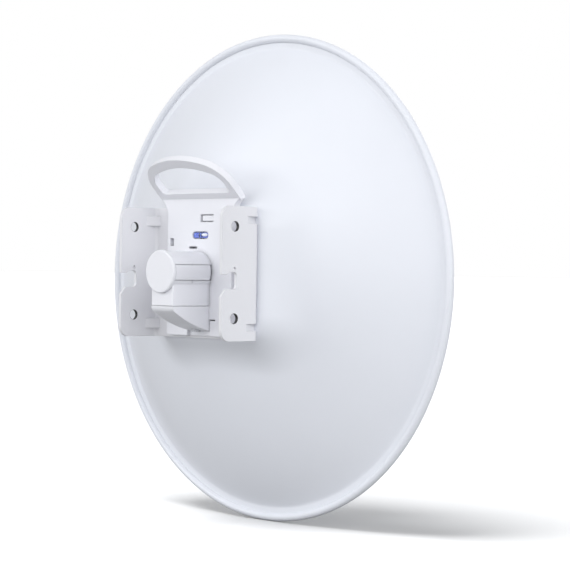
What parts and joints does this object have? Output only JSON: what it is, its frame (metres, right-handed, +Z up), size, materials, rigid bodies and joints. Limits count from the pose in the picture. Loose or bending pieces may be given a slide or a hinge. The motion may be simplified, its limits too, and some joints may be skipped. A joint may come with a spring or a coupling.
{
  "type": "outdoor wireless bridge dish antenna",
  "caption": "Round dish antenna with a plug-in front feed, rear housing with carrying handle and a U-shaped mast bracket.",
  "frame": {"origin": "middle of the tilt pivot axis, the upper pair of bolt holes in the bracket's two side walls", "axes": "+Z up, -Y along the beam the dish sends out, +Y back towards the mast, +X to the left of somebody standing behind the dish"},
  "size_m": [0.42, 0.2176, 0.42],
  "materials": {
    "dish_paint": "white powder coat, satin",
    "bracket_paint": "white powder coat, satin",
    "housing_plastic": "white outdoor plastic, fine texture",
    "black_rubber": "matt black rubber",
    "grey_rubber": "matt light grey rubber",
    "vial_clear": "clear acrylic",
    "vial_fluid": "blue tinted liquid",
    "screw_steel": "stainless steel",
    "feed_plastic": "white outdoor plastic",
    "bare_aluminium": "bare aluminium",
    "probe_brass": "bare brass",
    "cone_plastic": "natural engineering plastic",
    "board_laminate": "green solder mask",
    "tinplate": "tinned steel",
    "thermal_pad": "soft grey-blue silicone",
    "dark_plastic": "black plastic"
  },
  "bodies": {
    "antenna": {"reflector": "dish_paint", "mount_bracket": "bracket_paint", "rear_housing": "housing_plastic", "rear_cap": "housing_plastic", "level_vial": "vial_clear", "level_fluid": "vial_fluid", "housing_screws": "screw_steel"},
    "feed": {"feed_tube": "feed_plastic", "feed_gasket": "black_rubber", "feed_radome": "feed_plastic", "radome_screws": "screw_steel", "waveguide": "bare_aluminium", "feed_probes": "probe_brass", "dielectric_cone": "cone_plastic", "splash_plate": "bare_aluminium", "radio_board": "board_laminate", "shield_cans": "tinplate", "thermal_pad": "thermal_pad", "heat_spreader": "bare_aluminium", "ethernet_jack": "tinplate", "reset_switch": "dark_plastic"},
    "left_latch": {"latch_left": "housing_plastic"},
    "right_latch": {"latch_right": "housing_plastic"},
    "plate_tab": {"lock_tab": "housing_plastic"},
    "cover": {"port_cover": "housing_plastic", "cable_grommet": "grey_rubber"},
    "button": {"reset_button": "dark_plastic"}
  },
  "joints": [
    {"name": "feed_pull", "type": "slide", "parent": "antenna", "child": "feed", "axis": [0, -1, 0], "range_m": [0, 0.065]},
    {"name": "left_latch_press", "type": "hinge", "parent": "antenna", "child": "left_latch", "pos_m": [0.0144, 0.0013, -0.03735], "axis": [0, 0, -1], "range_deg": [0, 5], "stiffness_Nm_per_rad": 0.01},
    {"name": "right_latch_press", "type": "hinge", "parent": "antenna", "child": "right_latch", "pos_m": [-0.0144, 0.0013, -0.03735], "axis": [0, 0, 1], "range_deg": [0, 5], "stiffness_Nm_per_rad": 0.01},
    {"name": "lock_tab_flex", "type": "hinge", "parent": "antenna", "child": "plate_tab", "pos_m": [-0.0169, -0.0206, 0.0075], "axis": [0, 0, -1], "range_deg": [0, 8], "stiffness_Nm_per_rad": 0.0008},
    {"name": "port_cover_slide", "type": "slide", "parent": "antenna", "child": "cover", "axis": [0, 0, -1], "range_m": [0, 0.035]},
    {"name": "reset_press", "type": "slide", "parent": "feed", "child": "button", "axis": [0, 0, 1], "range_m": [0, 0.0006], "stiffness_N_per_m": 10}
  ]
}
